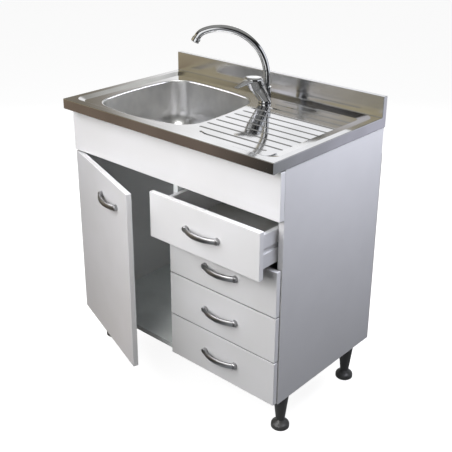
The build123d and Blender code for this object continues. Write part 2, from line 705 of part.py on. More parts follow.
def make_handle(x, z):
    """Bow handle on the front's face, with its two screws through the front."""
    left, right = handle_screw_places(x)
    middle_y = FRONT_Y - HANDLE_BULGE + HANDLE_BAR_DEPTH / 2
    end_y = FRONT_Y - HANDLE_END_RISE
    bow = ThreePointArc((left, end_y, z), (x, middle_y, z), (right, end_y, z))
    section_plane = Plane(origin=bow @ 0, z_dir=bow % 0, x_dir=(0, 0, 1))
    section = section_plane * Ellipse(HANDLE_BAR_HEIGHT / 2, HANDLE_BAR_DEPTH / 2)
    bar = sweep(section, path=bow)
    foot_top = end_y - HANDLE_BAR_DEPTH / 2
    feet = [cross_rod(place, z, foot_top, FRONT_Y, HANDLE_FOOT_R) for place in (left, right)]
    feet = [chamfer(foot.faces().sort_by(Axis.Y)[0].edges(), 2) for foot in feet]
    bow_piece = bar + feet[0] + feet[1]
    pieces = [bow_piece]
    for place in (left, right):
        shank = cross_rod(place, z, FRONT_Y, FRONT_REAR_Y, SCREW_R)
        pieces.append(shank + cross_rod(place, z, FRONT_REAR_Y, FRONT_REAR_Y + SCREW_HEAD, SCREW_HEAD_R))
    return Compound(children=pieces)


# ---------------------------------------------------------------- door
def make_door():
    """Lay-on door with its handle bores and the hinges' cup holes."""
    door = eased(board(DOOR_LEFT, DOOR_RIGHT, FRONT_Y, FRONT_REAR_Y, FRONTS_BOTTOM, FRONTS_TOP))
    door -= handle_bores(DOOR_LEFT + DOOR_HANDLE_FROM_HINGE, door_handle_z())
    for z in HINGE_HEIGHTS:
        hole_floor = FRONT_REAR_Y - CUP_DEPTH - FIT_GAP
        door -= cross_rod(CUP_X, z, hole_floor, FRONT_REAR_Y + 1, CUP_R + CUP_FIT)
    return door


def door_handle_z():
    """The door's handle is level with the top drawer's."""
    return drawer_bottom(1) + DRAWER_FRONT_HEIGHT / 2


def make_hinge_cups():
    """Cups pressed into the door's back, each with a flange above and below and its pin."""
    cups = []
    for z in HINGE_HEIGHTS:
        cup = cross_rod(CUP_X, z, FRONT_REAR_Y - CUP_DEPTH, FRONT_REAR_Y, CUP_R)
        flange = cross_rod(CUP_X, z, FRONT_REAR_Y, FRONT_REAR_Y + CUP_FLANGE_THICK, CUP_R + CUP_FLANGE)
        keep = board(CUP_X - 0.8 * CUP_R, CUP_X + CUP_R, FRONT_REAR_Y, CARCASS_FRONT_Y,
                     z - 2 * CUP_R, z + 2 * CUP_R)
        cup += flange & keep
        cup -= cross_rod(CUP_X, z, FRONT_REAR_Y - CUP_DEPTH + CUP_WALL, CARCASS_FRONT_Y, CUP_R - CUP_WALL)
        cups.append(cup)
    return Compound(children=cups)


def hinge_pin_half():
    """Half the length of a hinge pin, from wall to wall of its cup."""
    off_centre = CUP_X - HINGE_X + PIN_R
    return sqrt((CUP_R - CUP_WALL) ** 2 - off_centre**2)


def make_hinge_pins():
    """Pins across the cups, on the door's turning axis."""
    half = hinge_pin_half()
    return Compound(children=[post(HINGE_X, HINGE_Y, z - half, z + half, PIN_R) for z in HINGE_HEIGHTS])


def make_hinge_arms():
    """Goosenecks from the pins, out of the cups and back along the side panel."""
    arms = []
    neck_x = -CABINET_INNER + ARM_STANDOFF
    arm_back = CARCASS_FRONT_Y + ARM_LENGTH
    for z in HINGE_HEIGHTS:
        low, high = z - ARM_WIDTH / 2, z + ARM_WIDTH / 2
        tongue = board(HINGE_X, neck_x, HINGE_Y - ARM_THICK / 2, HINGE_Y + ARM_THICK / 2, low, high)
        neck = board(neck_x - ARM_THICK, neck_x, HINGE_Y - ARM_THICK / 2, arm_back, low, high)
        eye = post(HINGE_X, HINGE_Y, low, high, EYE_R)
        arm = tongue + neck + eye
        arms.append(arm - post(HINGE_X, HINGE_Y, low, high, PIN_R + PIN_FIT))
    return Compound(children=arms)


def make_hinge_plates():
    """Mounting plates on the side panel, under the hinges' arms."""
    plates = []
    wall = -CABINET_INNER
    arm_side = wall + ARM_STANDOFF - ARM_THICK
    y0 = CARCASS_FRONT_Y + PLATE_SETBACK
    y1 = y0 + PLATE_LENGTH
    for z in HINGE_HEIGHTS:
        base = board(wall, wall + PLATE_THICK / 2, y0, y1, z - PLATE_WIDTH / 2, z + PLATE_WIDTH / 2)
        saddle = board(wall, arm_side, y0, y1, z - ARM_WIDTH / 2, z + ARM_WIDTH / 2)
        plates.append(base + saddle)
    return Compound(children=plates)


def swing(shape):
    """Open a door piece about the hinge pins to its place at rest."""
    return Pos(HINGE_X, HINGE_Y) * Rot(0, 0, -DOOR_ANGLE) * Pos(-HINGE_X, -HINGE_Y) * shape


# ---------------------------------------------------------------- legs
def leg_places():
    """Names and centres of the four legs."""
    x = CABINET_HALF - LEG_INSET_X
    front, rear = CARCASS_FRONT_Y + LEG_FRONT_INSET, BOARD_BACK_Y - LEG_REAR_INSET
    return {"front_left": (-x, front), "front_right": (x, front),
            "rear_left": (-x, rear), "rear_right": (x, rear)}


def make_legs():
    """Tapered legs with their screwed-on plates, bored for the feet's stems."""
    legs = []
    leg_low = FOOT_HEIGHT + FOOT_RUNNING_GAP
    taper_top = CARCASS_BOTTOM - LEG_PLATE_THICK
    bore_top = FOOT_HEIGHT + STEM_LENGTH + LEG_BORE_SPARE
    for x, y in leg_places().values():
        height = taper_top - leg_low
        taper = Pos(x, y, leg_low + height / 2) * Cone(LEG_BOTTOM_R, LEG_TOP_R, height)
        plate = board(x - LEG_PLATE / 2, x + LEG_PLATE / 2, y - LEG_PLATE / 2, y + LEG_PLATE / 2,
                      taper_top, CARCASS_BOTTOM)
        plate = fillet(plate.edges().filter_by(Axis.Z), LEG_PLATE_THICK)
        legs.append(taper + plate - post(x, y, leg_low, bore_top, STEM_R + STEM_FIT))
    return Compound(children=legs)


def make_foot(x, y):
    """Domed foot with the screwed stem that sets its height."""
    profile = Polyline((0, 0), (FOOT_R - 2, 0), (FOOT_R, 2), (FOOT_R, FOOT_EDGE))
    dome = Spline((FOOT_R, FOOT_EDGE), (0.78 * FOOT_R, 0.66 * FOOT_HEIGHT), (FOOT_NECK_R, FOOT_HEIGHT),
                  tangents=[(0, 1), (-1, 1)])
    close = Polyline((FOOT_NECK_R, FOOT_HEIGHT), (0, FOOT_HEIGHT), (0, 0))
    outline = make_face(Wire(profile.edges() + dome.edges() + close.edges()))
    disc = revolve(Plane.XZ * outline, Axis.Z)
    return Pos(x, y) * disc + post(x, y, FOOT_HEIGHT, FOOT_HEIGHT + STEM_LENGTH, STEM_R)


# ---------------------------------------------------------------- tap
def make_tap_body():
    """V-shaped casting: an upright socket for the spout and a leaning one for the cartridge."""
    base = post(TAP_X, TAP_Y, TAP_SEAT_Z, TAP_SEAT_Z + TAP_BASE_HEIGHT, TAP_BASE_R)
    column = post(TAP_X, SPOUT_Y, TAP_SEAT_Z, SPOUT_COLLAR_TOP, SPOUT_COLLAR_R)
    low_end = Pos(TAP_X, TAP_Y, TAP_SEAT_Z + TAP_BASE_HEIGHT / 2) * Circle(TAP_BASE_R - 1)
    high_end = Plane(origin=LEAN_TOP, z_dir=LEAN_DIRECTION) * Circle(LEAN_BODY_R)
    branch = loft([low_end, high_end])
    body = base + column + branch
    shank_low = TAP_SEAT_Z - SHANK_LENGTH
    body += post(TAP_X, TAP_Y, shank_low, TAP_SEAT_Z, SHANK_R)
    body -= post(TAP_X, TAP_Y, shank_low - 1, TAP_SEAT_Z - SHANK_R, INLET_R)
    body -= post(TAP_X, SPOUT_Y, SPOUT_COLLAR_TOP, LEAN_TOP_Z, SPOUT_COLLAR_R + FIT_GAP)
    socket_low = SPOUT_COLLAR_TOP - SPOUT_SOCKET_DEPTH
    body -= post(TAP_X, SPOUT_Y, socket_low, SPOUT_COLLAR_TOP + 1, SPOUT_R + SPOUT_FIT)
    depth = CARTRIDGE_LENGTH + CARTRIDGE_RING_HEIGHT
    return body - on_lean(Cylinder(CARTRIDGE_R, 2 * depth))


def make_tap_gasket():
    """Seal between the tap and the field of the top."""
    return Pos(TAP_X, TAP_Y, FIELD_Z) * ring(TAP_BASE_R, SHANK_R + FIT_GAP, TAP_GASKET)


def make_tap_fixing():
    """Washer and nut that clamp the tap from below."""
    washer_top = FIELD_Z - SHEET
    bore = SHANK_R + THREAD_FIT
    washer = Pos(TAP_X, TAP_Y, washer_top - TAP_WASHER_THICK) * ring(TAP_WASHER_R, bore, TAP_WASHER_THICK)
    nut_low = washer_top - TAP_WASHER_THICK - TAP_NUT_HEIGHT
    nut = Pos(TAP_X, TAP_Y, nut_low) * extrude(RegularPolygon(TAP_NUT_R, 6), TAP_NUT_HEIGHT)
    nut -= post(TAP_X, TAP_Y, nut_low, nut_low + TAP_NUT_HEIGHT, bore)
    return Compound(children=[washer, nut])


def spout_path():
    """Centre line of the spout, drawn towards the front before it is swivelled."""
    foot_z = SPOUT_COLLAR_TOP - SPOUT_SOCKET_DEPTH + FIT_GAP
    half_turn = radians(45)
    fall_angle = radians(SPOUT_FALL_ANGLE)
    end_angle = fall_angle + radians(SPOUT_CURL_ANGLE)
    apex_y, apex_z = SPOUT_Y - SPOUT_BEND_R, SPOUT_BEND_START + SPOUT_BEND_R
    rise = Line((TAP_X, SPOUT_Y, foot_z), (TAP_X, SPOUT_Y, SPOUT_BEND_START))
    bend_middle = (TAP_X, SPOUT_Y - SPOUT_BEND_R * (1 - cos(half_turn)),
                   SPOUT_BEND_START + SPOUT_BEND_R * sin(half_turn))
    bend = ThreePointArc((TAP_X, SPOUT_Y, SPOUT_BEND_START), bend_middle, (TAP_X, apex_y, apex_z))

    def on_arc(radius, centre_y, centre_z, angle):
        return (TAP_X, centre_y - radius * sin(angle), centre_z + radius * cos(angle))

    fall = [on_arc(SPOUT_FALL_R, apex_y, apex_z - SPOUT_FALL_R, fall_angle * share) for share in (0, 0.5, 1)]
    inward = SPOUT_FALL_R - SPOUT_CURL_R
    curl_y, curl_z = apex_y - inward * sin(fall_angle), apex_z - SPOUT_FALL_R + inward * cos(fall_angle)
    angles = (fall_angle, (fall_angle + end_angle) / 2, end_angle)
    curl = [on_arc(SPOUT_CURL_R, curl_y, curl_z, angle) for angle in angles]
    run = Vector(0, -cos(end_angle), -sin(end_angle)) * SPOUT_END_STRAIGHT
    tip = Line(curl[-1], Vector(*curl[-1]) + run)
    return Wire([rise, bend, ThreePointArc(*fall), ThreePointArc(*curl), tip])


def make_spout():
    """Swan-neck tube."""
    path = spout_path()
    start = Plane(origin=path @ 0, z_dir=path % 0)
    section = start * (Circle(SPOUT_R) - Circle(SPOUT_R - SPOUT_WALL))
    return sweep(section, path=path)


def make_aerator():
    """Nozzle at the spout's end, a little wider than the tube, with both outer edges rounded."""
    path = spout_path()
    end, direction = path @ 1, path % 1
    body = Pos(0, 0, AERATOR_LENGTH / 2) * Cylinder(AERATOR_R, AERATOR_LENGTH)
    body = fillet(body.edges().filter_by(GeomType.CIRCLE), AERATOR_EDGE_R)
    body -= Cylinder(AERATOR_BORE_R, 3 * AERATOR_LENGTH)
    return Plane(origin=end, z_dir=direction) * body


def make_spout_ring():
    """Cap ring over the spout's socket."""
    return Pos(TAP_X, SPOUT_Y, SPOUT_COLLAR_TOP) * ring(SPOUT_COLLAR_R, SPOUT_R + SPOUT_FIT, SPOUT_RING_HEIGHT)


def swivel(shape):
    """Turn a spout piece from the front to its place over the bowl."""
    return Pos(TAP_X, SPOUT_Y) * Rot(0, 0, -SPOUT_SWIVEL) * Pos(-TAP_X, -SPOUT_Y) * shape


def make_cartridge():
    """Ceramic-disc cartridge in the leaning socket, with the hole its stem turns in."""
    top = -CARTRIDGE_RING_HEIGHT
    body = Pos(0, 0, top - CARTRIDGE_LENGTH / 2) * Cylinder(CARTRIDGE_R, CARTRIDGE_LENGTH)
    hole = Cylinder(TAP_STEM_R + TAP_STEM_FIT, 2 * (TAP_STEM_SEAT + FIT_GAP))
    return on_lean(body - Pos(0, 0, top) * hole)


def make_cartridge_ring():
    """Nut that holds the cartridge down, flush with the socket's top."""
    nut = Pos(0, 0, -CARTRIDGE_RING_HEIGHT) * ring(CARTRIDGE_R, CARTRIDGE_RING_BORE_R, CARTRIDGE_RING_HEIGHT)
    return on_lean(nut)


def make_tap_stem():
    """Stem with a round bell, turned by the lever for warm and cold, and bored for its pin."""
    low = -CARTRIDGE_RING_HEIGHT - TAP_STEM_SEAT
    stem = Pos(0, 0, (low + PIVOT_RISE) / 2) * Cylinder(TAP_STEM_R, PIVOT_RISE - low)
    slab = Pos(0, 0, (BELL_GAP + BELL_RISE) / 2) * Box(3 * BELL_R, 3 * BELL_R, BELL_RISE - BELL_GAP)
    bell = (Pos(0, 0, PIVOT_RISE) * Sphere(BELL_R)) & slab
    bore = Pos(0, 0, PIVOT_RISE) * Rot(0, 90, 0) * Cylinder(TAP_PIN_R + PIN_FIT, 3 * BELL_R)
    return on_lean(stem + bell - bore)


def make_lever_pin():
    """Cross pin on which the lever lifts."""
    reach = sqrt(CAP_ROOM_R**2 - TAP_PIN_R**2)
    return on_lean(Pos(0, 0, PIVOT_RISE) * Rot(0, 90, 0) * Cylinder(TAP_PIN_R, 2 * reach))


def cap_top_plane():
    """Plane of the lever's top, which rises a little towards the front."""
    rear_y = LEVER_PIVOT.Y + CAP_R
    slope = radians(CAP_TOP_SLOPE)
    return Plane(origin=(TAP_X, rear_y, CAP_REAR_TOP_Z), x_dir=(1, 0, 0), z_dir=(0, sin(slope), cos(slope)))


def make_lever():
    """Lever: a hollow cap over the bell, with a flat top that runs out into a tapering blade."""
    size = 6 * CAP_R
    above_rim = Rot(CAP_TILT, 0, 0) * Pos(0, 0, size / 2 - CAP_RIM_DROP) * Box(size, size, size)
    cap = on_lean(Pos(0, 0, PIVOT_RISE) * (Cylinder(CAP_R, size) & above_rim))
    cap -= cap_top_plane() * Pos(0, 0, size) * Box(2 * size, 2 * size, 2 * size)
    cap = fillet(cap.faces().sort_by(Axis.Z)[-1].edges(), CAP_EDGE_R)
    sections = []
    for reach, rise, width, height in BLADE_SECTIONS:
        plane = Plane(origin=(TAP_X, TAP_Y - reach, TOP_HEIGHT + rise), x_dir=(1, 0, 0), z_dir=(0, -1, 0))
        sections.append(plane * Ellipse(width / 2, height / 2))
    lever = cap + loft(sections)
    below_top = cap_top_plane() * Pos(0, 0, -CAP_WALL - size) * Box(2 * size, 2 * size, 2 * size)
    room = on_lean(Pos(0, 0, PIVOT_RISE) * Sphere(CAP_ROOM_R))
    return lever - (room & below_top) - index_plug()


def index_plug():
    """Short upright cylinder at the top of the lever, over its pivot."""
    top_z = CAP_REAR_TOP_Z + CAP_R * tan(radians(CAP_TOP_SLOPE))
    return post(TAP_X, LEVER_PIVOT.Y, top_z - INDEX_THICK, top_z + INDEX_THICK / 4, INDEX_R)


# ---------------------------------------------------------------- the whole unit
def save_top():
    """Top, bowl and waste."""
    save("steel_top", make_top())
    save("bowl", make_bowl())
    save("waste_flange", make_waste_flange())
    save("waste_gasket", make_waste_gasket())
    save("waste_body", make_waste_body())
    save("waste_screw", make_waste_screw())
    save("strainer_basket", make_basket())


def save_cabinet():
    """Carcass boards and what fixes them."""
    make_sides()
    save("floor_board", make_floor_board())
    save("floor_cams", make_cams())
    save("divider", make_divider())
    save("back_board", make_back_board())
    save("rear_rail", make_rear_rail())
    save("fascia", make_fascia())
    save("fascia_brackets", make_brackets())
    save("drawer_runners", make_runners())
    save("legs", make_legs())
    for name, (x, y) in leg_places().items():
        save(f"foot_{name}", make_foot(x, y))


def save_drawers():
    """Four drawers, the top one pulled out."""
    for number in range(1, DRAWER_COUNT + 1):
        place = Pos(0, -DRAWER_PULL if number == 1 else 0, 0)
        handle_z = drawer_bottom(number) + DRAWER_FRONT_HEIGHT / 2
        save(f"drawer_{number}_front", place * make_drawer_front(number))
        save(f"drawer_{number}_sides", place * make_box_sides(number))
        save(f"drawer_{number}_back", place * make_box_back(number))
        save(f"drawer_{number}_base", place * make_box_base(number))
        save(f"drawer_{number}_handle", place * make_handle(DRAWER_MID, handle_z))


def save_door():
    """Door with its handle and hinges, standing ajar."""
    save("door_panel", swing(make_door()))
    save("door_handle", swing(make_handle(DOOR_LEFT + DOOR_HANDLE_FROM_HINGE, door_handle_z())))
    save("hinge_cups", swing(make_hinge_cups()))
    save("hinge_pins", swing(make_hinge_pins()))
    save("hinge_arms", make_hinge_arms())
    save("hinge_plates", make_hinge_plates())


def save_tap():
    """Mixer tap."""
    save("tap_body", make_tap_body())
    save("tap_gasket", make_tap_gasket())
    save("tap_fixing", make_tap_fixing())
    save("tap_spout_ring", make_spout_ring())
    save("tap_spout", swivel(make_spout()))
    save("tap_aerator", swivel(make_aerator()))
    save("tap_cartridge", make_cartridge())
    save("tap_cartridge_ring", make_cartridge_ring())
    save("tap_stem", make_tap_stem())
    save("tap_lever", make_lever())
    save("tap_lever_pin", make_lever_pin())
    save("tap_lever_index", index_plug())


os.makedirs("parts", exist_ok=True)
save_top()
save_cabinet()
save_drawers()
save_door()
save_tap()
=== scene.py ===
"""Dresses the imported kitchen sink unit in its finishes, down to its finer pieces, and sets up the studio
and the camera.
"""

import logging
from dataclasses import dataclass, field
from enum import Enum
from math import cos, pi, sin

import bmesh
import bpy
from mathutils import Matrix, Vector

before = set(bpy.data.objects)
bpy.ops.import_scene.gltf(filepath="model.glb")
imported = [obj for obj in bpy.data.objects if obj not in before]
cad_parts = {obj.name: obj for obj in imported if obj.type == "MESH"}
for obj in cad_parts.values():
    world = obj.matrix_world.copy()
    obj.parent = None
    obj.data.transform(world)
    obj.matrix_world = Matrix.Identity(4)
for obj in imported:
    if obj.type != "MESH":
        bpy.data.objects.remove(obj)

log = logging.getLogger("kitchen_sink_unit")
MM = 0.001
DRAWER_COUNT = 4

# A Mix node's colour sockets, by number, because its other sockets have the same names.
MIX_FIRST, MIX_SECOND, MIX_RESULT = 6, 7, 2
# How finely the noise of a grain and of a drift of tones is broken up.
GRAIN_DETAIL, CLOUD_DETAIL = 3.0, 2.0
# The values of the noise between which the first tone gives way to the second.
CLOUD_EDGES = (0.35, 0.65)
# The shares of open air between which the painted shade of a narrow gap ends, and the number of rays that
# find the share.
PAINTED_SHADE_EDGES, PAINTED_SHADE_RAYS = (0.3, 0.7), 8
# Sanding stretches a highlight across its own lines, which is a quarter turn from them.
QUARTER_TURN = 0.25
WHITE = (1.0, 1.0, 1.0, 1.0)


def linear(code: str) -> tuple[float, float, float, float]:
    """Turn an sRGB hex colour into the linear colour that shaders take.

    Args:
        code: the colour as "#rrggbb".

    Returns:
        Its red, green, blue and alpha, linear.
    """
    channels = [int(code[i : i + 2], 16) / 255 for i in (1, 3, 5)]
    # The curve that the sRGB standard gives.
    return (*(c / 12.92 if c <= 0.04045 else ((c + 0.055) / 1.055) ** 2.4 for c in channels), 1.0)


def add_node(
    tree: bpy.types.NodeTree, kind: str, inputs: dict[str | int, object] | None = None, **settings: object
) -> bpy.types.Node:
    """Add one shader node with its settings and links.

    Args:
        tree: the node tree that gets the node.
        kind: the node's type, such as "ShaderNodeBump".
        inputs: values or output sockets by input name or number.
        settings: the node's own properties.

    Returns:
        The new node.
    """
    node = tree.nodes.new(kind)
    for name, value in settings.items():
        setattr(node, name, value)
    for name, value in (inputs or {}).items():
        if isinstance(value, bpy.types.NodeSocket):
            tree.links.new(value, node.inputs[name])
        else:
            node.inputs[name].default_value = value
    return node


class Grain(Enum):
    """The way that a surface's fine lines run, as the length of a line over its width along x, y and z."""

    NONE = (1.0, 1.0, 1.0)
    ALONG_X = (60.0, 1.0, 1.0)
    ALONG_Y = (1.0, 60.0, 1.0)
    ALONG_Z = (1.0, 1.0, 60.0)


@dataclass(frozen=True)
class Finish:
    """A surface: two close tones, a fine grain that varies its gloss, and a shallow relief.

    Sizes are in millimetres on the real piece: cloud_mm is the size of the drift between the tones, grain_mm
    the width of a fine line and relief_mm its height. gloss is the roughness at the grain's two ends.
    sanded_about is the node whose middle the sanding runs round, and sanded_round is how much that stretches
    the highlights. Above dull_above_mm the surface gets rougher by dull over the next dull_over_mm. The last
    two fields give a painted shade in narrow gaps: how far it reaches into the colour, and its tone.
    """

    name: str
    tone: str
    second_tone: str
    cloud_mm: float
    grain_mm: float
    gloss: tuple[float, float]
    relief_mm: float = 0.0
    grain: Grain = Grain.NONE
    metallic: float = 0.0
    ior: float = 1.5
    coat: float = 0.0
    coat_rough: float = 0.03
    sanded_about: str = ""
    sanded_round: float = 0.0
    dull_above_mm: float = 0.0
    dull_over_mm: float = 30.0
    dull: float = 0.0
    # Painted shade in narrow gaps: how far it reaches, and its tone.
    painted_shade_mm: float = 0.0
    painted_shade_tone: str = "#3c3d3e"

    def grain_noise(self, tree: bpy.types.NodeTree, place: bpy.types.NodeSocket) -> bpy.types.NodeSocket:
        """Return the grain as a value from 0 to 1.

        Args:
            tree: the material's node tree.
            place: the Object coordinates.

        Returns:
            The grain's output socket.
        """
        scale = tuple(1 / (MM * self.grain_mm * length) for length in self.grain.value)
        lie = add_node(tree, "ShaderNodeMapping", {"Vector": place, "Scale": scale})
        lines = {"Vector": lie.outputs[0], "Scale": 1.0, "Detail": GRAIN_DETAIL}
        return add_node(tree, "ShaderNodeTexNoise", lines).outputs[0]

    def sanding_way(self, tree: bpy.types.NodeTree, place: bpy.types.NodeSocket) -> bpy.types.NodeSocket:
        """Return the level direction that runs round the middle of the sanded node.

        Args:
            tree: the material's node tree.
            place: the Object coordinates.

        Returns:
            The direction's output socket.
        """
        box = [Vector(corner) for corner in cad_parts[self.sanded_about].bound_box]
        middle = sum(box, Vector()) / len(box)
        outward = add_node(tree, "ShaderNodeVectorMath", {0: place, 1: middle}, operation="SUBTRACT")
        upward_outward = {0: (0.0, 0.0, 1.0), 1: outward.outputs[0]}
        return add_node(tree, "ShaderNodeVectorMath", upward_outward, operation="CROSS_PRODUCT").outputs[0]

    def colour(self, tree: bpy.types.NodeTree, place: bpy.types.NodeSocket) -> bpy.types.NodeSocket:
        """Return the colour: the two tones drifting into each other, and a painted shade in narrow gaps.

        Args:
            tree: the material's node tree.
            place: the Object coordinates.

        Returns:
            The colour's output socket.
        """
        drift = {"Vector": place, "Scale": 1 / (MM * self.cloud_mm), "Detail": CLOUD_DETAIL}
        cloud = add_node(tree, "ShaderNodeTexNoise", drift)
        edges = {"Value": cloud.outputs[0], "From Min": CLOUD_EDGES[0], "From Max": CLOUD_EDGES[1]}
        spread = add_node(tree, "ShaderNodeMapRange", edges, interpolation_type="SMOOTHSTEP")
        tones = {0: spread.outputs[0], MIX_FIRST: linear(self.tone), MIX_SECOND: linear(self.second_tone)}
        open_tone = add_node(tree, "ShaderNodeMix", tones, data_type="RGBA").outputs[MIX_RESULT]
        if not self.painted_shade_mm:
            return open_tone
        # Painted shade: the colour darkens towards a shade tone where other surfaces close in, as in a narrow
        # gap.
        reach = {"Distance": MM * self.painted_shade_mm}
        shade = add_node(tree, "ShaderNodeAmbientOcclusion", reach, samples=PAINTED_SHADE_RAYS)
        edges = {"Value": shade.outputs["AO"], "From Min": PAINTED_SHADE_EDGES[0], "From Max": PAINTED_SHADE_EDGES[1]}
        open_air = add_node(tree, "ShaderNodeMapRange", edges)
        tones = {0: open_air.outputs[0], MIX_FIRST: linear(self.painted_shade_tone), MIX_SECOND: open_tone}
        return add_node(tree, "ShaderNodeMix", tones, data_type="RGBA").outputs[MIX_RESULT]

    def build(self) -> bpy.types.Material:
        """Return the material, made once and then kept.

        Returns:
            The material of this finish.
        """
        known = bpy.data.materials.get(self.name)
        if known:
            return known
        material = bpy.data.materials.new(self.name)
        material.use_nodes = True
        tree = material.node_tree
        tree.nodes.clear()
        place = add_node(tree, "ShaderNodeTexCoord").outputs["Object"]
        grain = self.grain_noise(tree, place)
        ends = {"Value": grain, "To Min": self.gloss[0], "To Max": self.gloss[1]}
        rough = add_node(tree, "ShaderNodeMapRange", ends).outputs[0]
        if self.dull:
            height = add_node(tree, "ShaderNodeSeparateXYZ", {0: place}).outputs["Z"]
            start, end = MM * self.dull_above_mm, MM * (self.dull_above_mm + self.dull_over_mm)
            rise = {"Value": height, "From Min": start, "From Max": end, "To Max": self.dull}
            above = add_node(tree, "ShaderNodeMapRange", rise).outputs[0]
            rough = add_node(tree, "ShaderNodeMath", {0: rough, 1: above}, operation="ADD").outputs[0]
        inputs = {"Metallic": self.metallic, "Coat Weight": self.coat, "Coat Roughness": self.coat_rough}
        if self.metallic < 1:
            inputs["IOR"] = self.ior
        if self.sanded_round:
            inputs["Anisotropic"] = self.sanded_round
            inputs["Anisotropic Rotation"] = QUARTER_TURN
            inputs["Tangent"] = self.sanding_way(tree, place)
        inputs["Base Color"] = self.colour(tree, place)
        inputs["Roughness"] = rough
        shader = add_node(tree, "ShaderNodeBsdfPrincipled", inputs)
        if self.relief_mm:
            bump = add_node(tree, "ShaderNodeBump", {"Height": grain, "Distance": MM * self.relief_mm})
            tree.links.new(bump.outputs[0], shader.inputs["Normal"])
            if self.coat:
                tree.links.new(bump.outputs[0], shader.inputs["Coat Normal"])
        add_node(tree, "ShaderNodeOutputMaterial", {"Surface": shader.outputs[0]})
        return material


# Cold-rolled stainless sheet, buffed after pressing: a near mirror, with the faint haze of wiping, that gets
# duller up the upstand.
POLISHED_STEEL = Finish(
    name="polished_stainless_steel", tone="#dedee0", second_tone="#d5d5d6", cloud_mm=120.0,
    grain_mm=0.9, gloss=(0.05, 0.1), grain=Grain.ALONG_X, metallic=1.0, dull_above_mm=856.0, dull=0.12,
)
# Deep-drawn stainless, sanded inside the bowl: soft streaks that spread the light.
SATIN_STEEL = Finish(
    name="satin_stainless_steel", tone="#dededc", second_tone="#d2d2d1", cloud_mm=60.0,
    grain_mm=0.8, gloss=(0.3, 0.35), grain=Grain.ALONG_Z, metallic=1.0,
    sanded_about="bowl", sanded_round=0.3,
)
# Brass under bright chrome plate.
CHROME = Finish(
    name="chrome_plated_brass", tone="#e6e7e8", second_tone="#dfe0e2", cloud_mm=40.0,
    grain_mm=2.0, gloss=(0.02, 0.05), metallic=1.0,
)
# High-gloss white foil on chipboard: a deep clear shine over a faint orange peel; painted shade in gaps.
GLOSS_FOIL = Finish(
    name="gloss_white_foil", tone="#f4f4f6", second_tone="#f0f0f1", cloud_mm=200.0,
    grain_mm=6.0, gloss=(0.16, 0.24), relief_mm=0.01, ior=1.5, coat=0.6, coat_rough=0.04, painted_shade_mm=6.0,
)
# Melamine-faced chipboard, pressed against a fine pearl plate.
WHITE_MELAMINE = Finish(
    name="white_melamine_board", tone="#dededf", second_tone="#dcdcdd", cloud_mm=90.0,
    grain_mm=0.9, gloss=(0.34, 0.5), relief_mm=0.02, ior=1.5,
)
# The same board in the grey of the cabinet's inside.
GREY_MELAMINE = Finish(
    name="grey_melamine_board", tone="#eef2f2", second_tone="#e6eaea", cloud_mm=90.0,
    grain_mm=0.9, gloss=(0.4, 0.55), relief_mm=0.02, ior=1.5,
)
# Thin hardboard with a printed grey face: dull and slightly fibrous.
HARDBOARD = Finish(
    name="grey_faced_hardboard", tone="#b9bab7", second_tone="#b0b0ac", cloud_mm=50.0,
    grain_mm=1.2, gloss=(0.5, 0.7), relief_mm=0.04, ior=1.48,
)
# Bent steel bar, nickel plated and brushed along its length.
SATIN_NICKEL = Finish(
    name="satin_nickel_plate", tone="#a2a2a3", second_tone="#98989a", cloud_mm=25.0,
    grain_mm=0.4, gloss=(0.3, 0.4), relief_mm=0.01, grain=Grain.ALONG_X, metallic=1.0,
)
# Moulded ABS with a fine spark texture.
BLACK_ABS = Finish(
    name="black_moulded_abs", tone="#454544", second_tone="#3b3b3a", cloud_mm=30.0,
    grain_mm=0.7, gloss=(0.3, 0.46), relief_mm=0.03, ior=1.53,
)
# Extruded PVC strip.
GREY_PVC = Finish(
    name="grey_extruded_pvc", tone="#8f9193", second_tone="#85878a", cloud_mm=40.0,
    grain_mm=0.6, gloss=(0.35, 0.5), relief_mm=0.01, grain=Grain.ALONG_Y, ior=1.53,
)
# Pressed steel, zinc plated and passivated: pale, with a cool bloom.
ZINC_STEEL = Finish(
    name="zinc_plated_steel", tone="#c3c7cb", second_tone="#a9adaf", cloud_mm=8.0,
    grain_mm=0.8, gloss=(0.28, 0.45), metallic=1.0,
)
# Moulded EPDM seal.
BLACK_RUBBER = Finish(
    name="black_epdm_rubber", tone="#232323", second_tone="#1c1c1c", cloud_mm=20.0,
    grain_mm=0.8, gloss=(0.6, 0.8), relief_mm=0.02, ior=1.52,
)
# Moulded polypropylene, white.
WHITE_PP = Finish(
    name="white_moulded_polypropylene", tone="#dfdfdc", second_tone="#d6d6d2", cloud_mm=30.0,
    grain_mm=0.8, gloss=(0.35, 0.5), relief_mm=0.02, ior=1.49,
)
# Moulded acetal button.
GREY_ACETAL = Finish(
    name="grey_moulded_acetal", tone="#8c8f94", second_tone="#7f8287", cloud_mm=10.0,
    grain_mm=0.6, gloss=(0.25, 0.35), ior=1.48,
)


@dataclass
class SubAssembly:
    """A group of carried-over nodes that are dressed together."""

    finishes: dict[str, Finish] = field(default_factory=dict)

    def dress(self) -> None:
        """Give each node of the group its finish."""
        for name, finish in self.finishes.items():
            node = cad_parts[name]
            material = finish.build()
            for slot in node.material_slots:
                slot.material = material
            log.info("%s dressed in %s", name, finish.name)


@dataclass
class SinkTop(SubAssembly):
    """The pressed worktop with its bowl and waste."""

    finishes: dict[str, Finish] = field(
        default_factory=lambda: {
            "steel_top": POLISHED_STEEL,
            "bowl": SATIN_STEEL,
            "waste_flange": SATIN_STEEL,
            "strainer_basket": SATIN_STEEL,
            "waste_gasket": BLACK_RUBBER,
            "waste_body": WHITE_PP,
            "waste_screw": ZINC_STEEL,
        }
    )


# The tap's plated pieces.
CHROMED_NODES = (
    "tap_body", "tap_spout", "tap_spout_ring", "tap_aerator", "tap_cartridge_ring", "tap_stem", "tap_lever",
    "tap_lever_pin",
)


